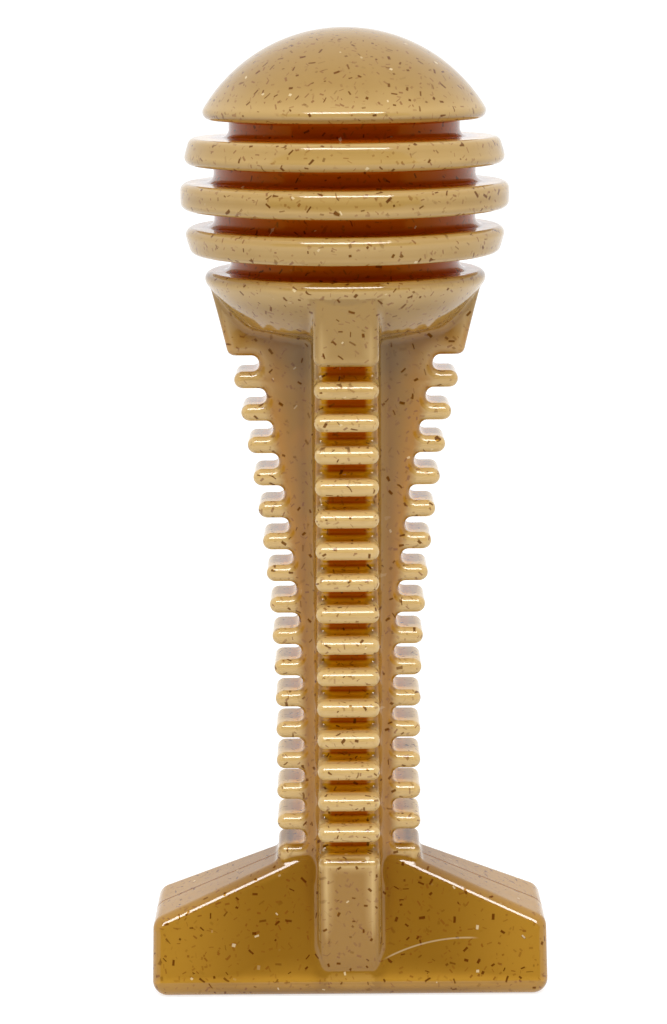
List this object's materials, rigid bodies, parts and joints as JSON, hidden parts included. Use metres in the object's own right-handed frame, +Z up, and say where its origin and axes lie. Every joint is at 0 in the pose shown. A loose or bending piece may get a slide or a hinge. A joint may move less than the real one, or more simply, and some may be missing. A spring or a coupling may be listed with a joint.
{
  "type": "pet toothbrush",
  "caption": "Solid chew toothbrush for dogs: a grooved ball head on a stem of toothed ribs, standing on a wedge foot.",
  "frame": {"origin": "centre of the foot's flat underside", "axes": "+Z up the stem to the head; X along the foot's long side; Y across the foot"},
  "size_m": [0.062, 0.05, 0.15],
  "materials": {
    "fibre_nylon": "moulded amber nylon with dark bamboo-fibre flecks, waxy half-gloss, slightly see-through"
  },
  "bodies": {
    "root": {"dome_cap": "fibre_nylon", "scraper_disc_upper": "fibre_nylon", "scraper_disc_middle": "fibre_nylon", "scraper_disc_lower": "fibre_nylon", "groove_neck_top": "fibre_nylon", "groove_neck_upper": "fibre_nylon", "groove_neck_lower": "fibre_nylon", "groove_neck_bottom": "fibre_nylon", "head_cup": "fibre_nylon", "stem_core": "fibre_nylon", "tooth_comb_front": "fibre_nylon", "tooth_comb_back": "fibre_nylon", "tooth_comb_left": "fibre_nylon", "tooth_comb_right": "fibre_nylon", "bracket_front": "fibre_nylon", "bracket_back": "fibre_nylon", "bracket_left": "fibre_nylon", "bracket_right": "fibre_nylon", "foot_wedge": "fibre_nylon", "foot_keel_front": "fibre_nylon", "foot_keel_back": "fibre_nylon"}
  },
  "joints": []
}
